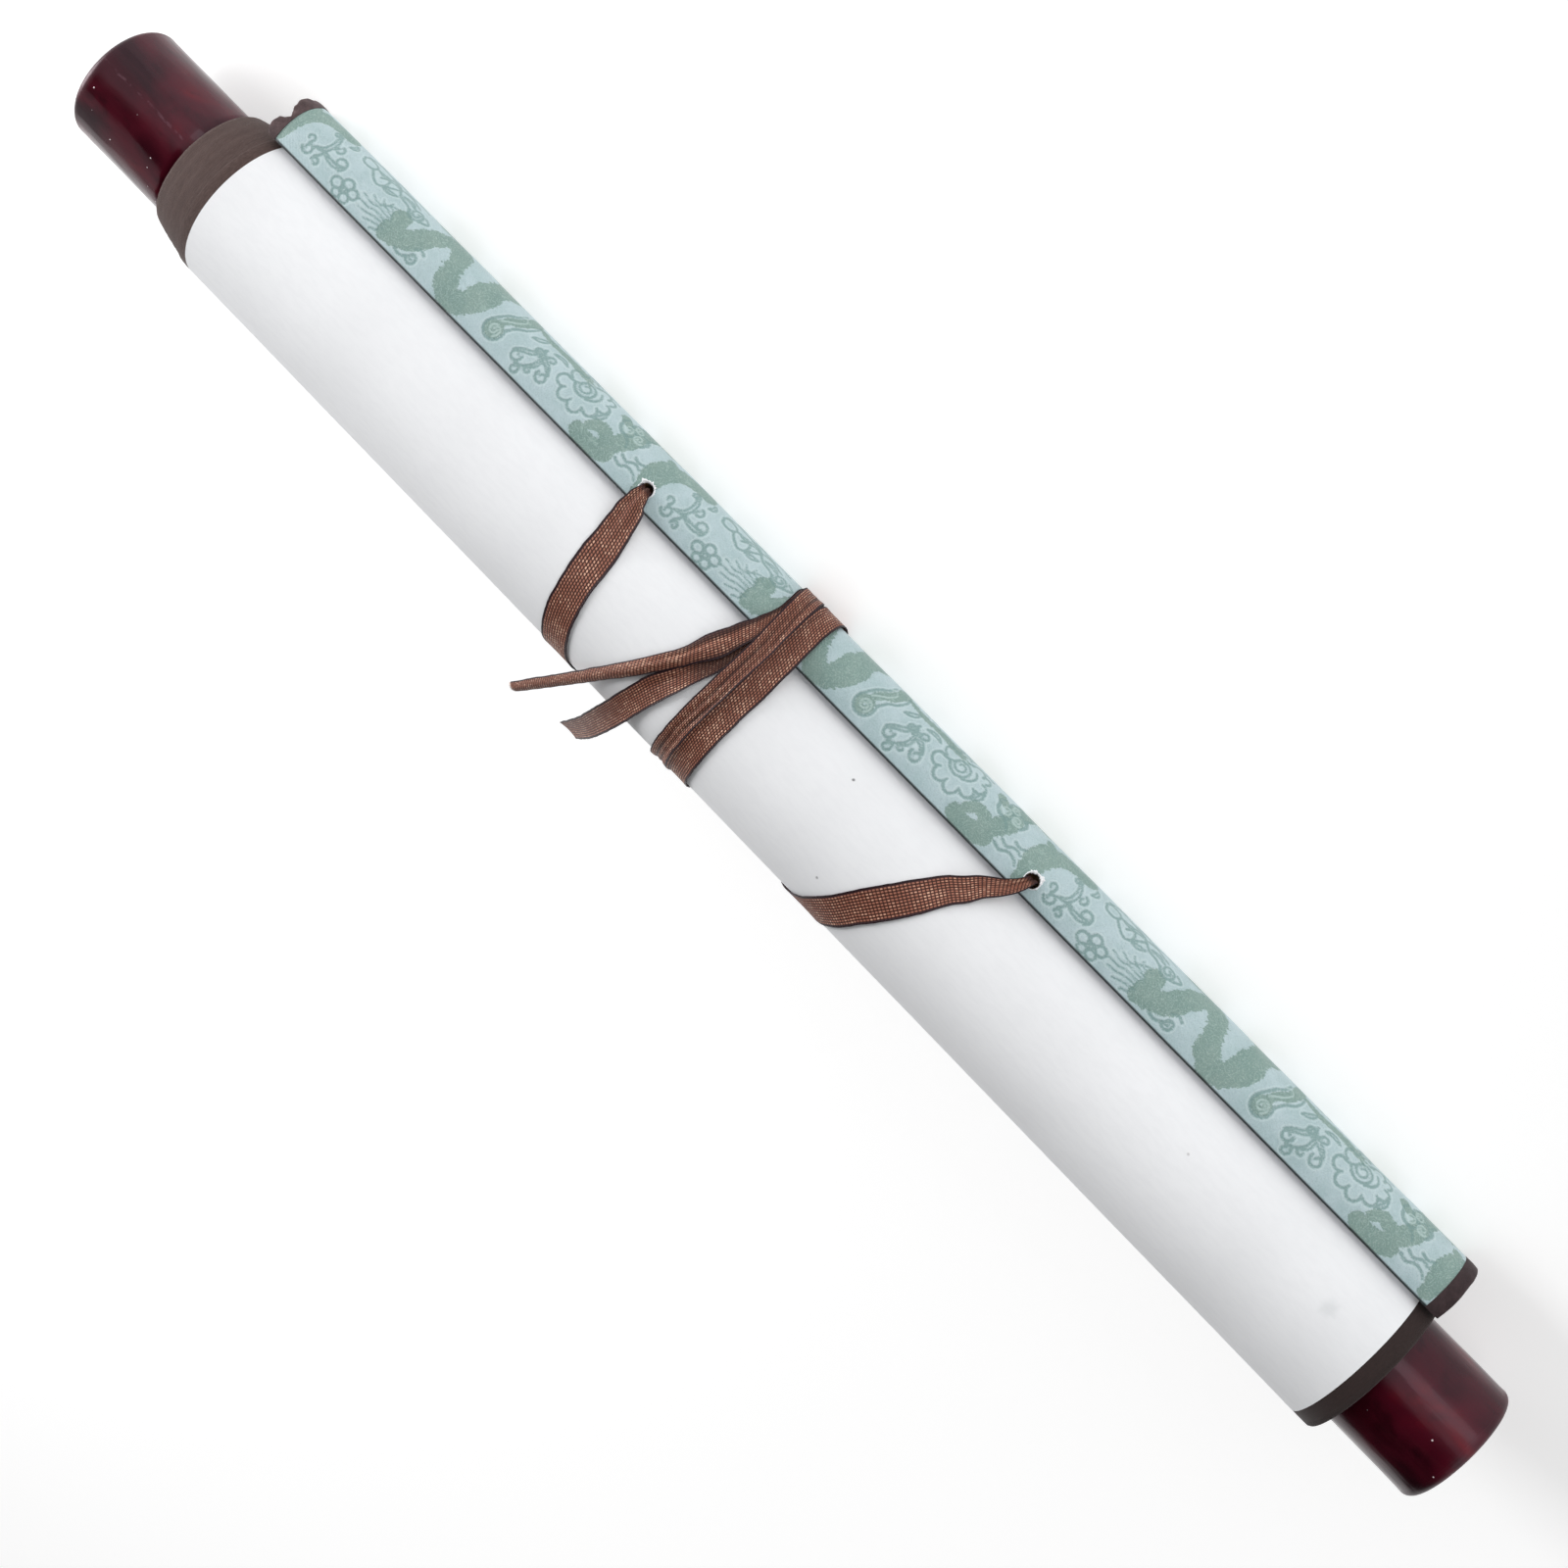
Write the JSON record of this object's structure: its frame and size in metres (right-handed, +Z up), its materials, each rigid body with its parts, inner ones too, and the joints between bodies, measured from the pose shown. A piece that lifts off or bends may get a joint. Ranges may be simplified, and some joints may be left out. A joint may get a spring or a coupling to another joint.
{
  "type": "rolled hanging scroll",
  "caption": "Blank hanging scroll rolled on a wooden roller with round lacquered end knobs, its brocade-covered half-round top stave lying along the roll, tied round with satin ribbons.",
  "frame": {"origin": "on the surface the scroll lies on, below the middle of the roller", "axes": "+X along the roller, +Z up, -Y is the side the top stave lies on"},
  "size_m": [0.4242, 0.0765, 0.0404],
  "materials": {
    "bare_wood": "unfinished softwood",
    "red_lacquer": "glossy dark red lacquer, clouded",
    "backing_paper": "matte white backing paper",
    "brown_cloth": "matte fine weave",
    "brocade": "woven silk brocade, soft sheen",
    "brown_satin": "satin ribbon with dark selvedges"
  },
  "bodies": {
    "root": {"roller_core": "bare_wood", "knob_left": "red_lacquer", "knob_right": "red_lacquer", "paper_roll": "backing_paper", "edging_left": "brown_cloth", "edging_right": "brown_cloth", "top_stave": "bare_wood", "brocade_cover": "brocade", "stave_cap_left": "brown_cloth", "stave_cap_right": "brown_cloth", "ribbon_left": "brown_satin", "ribbon_right": "brown_satin"}
  },
  "joints": []
}
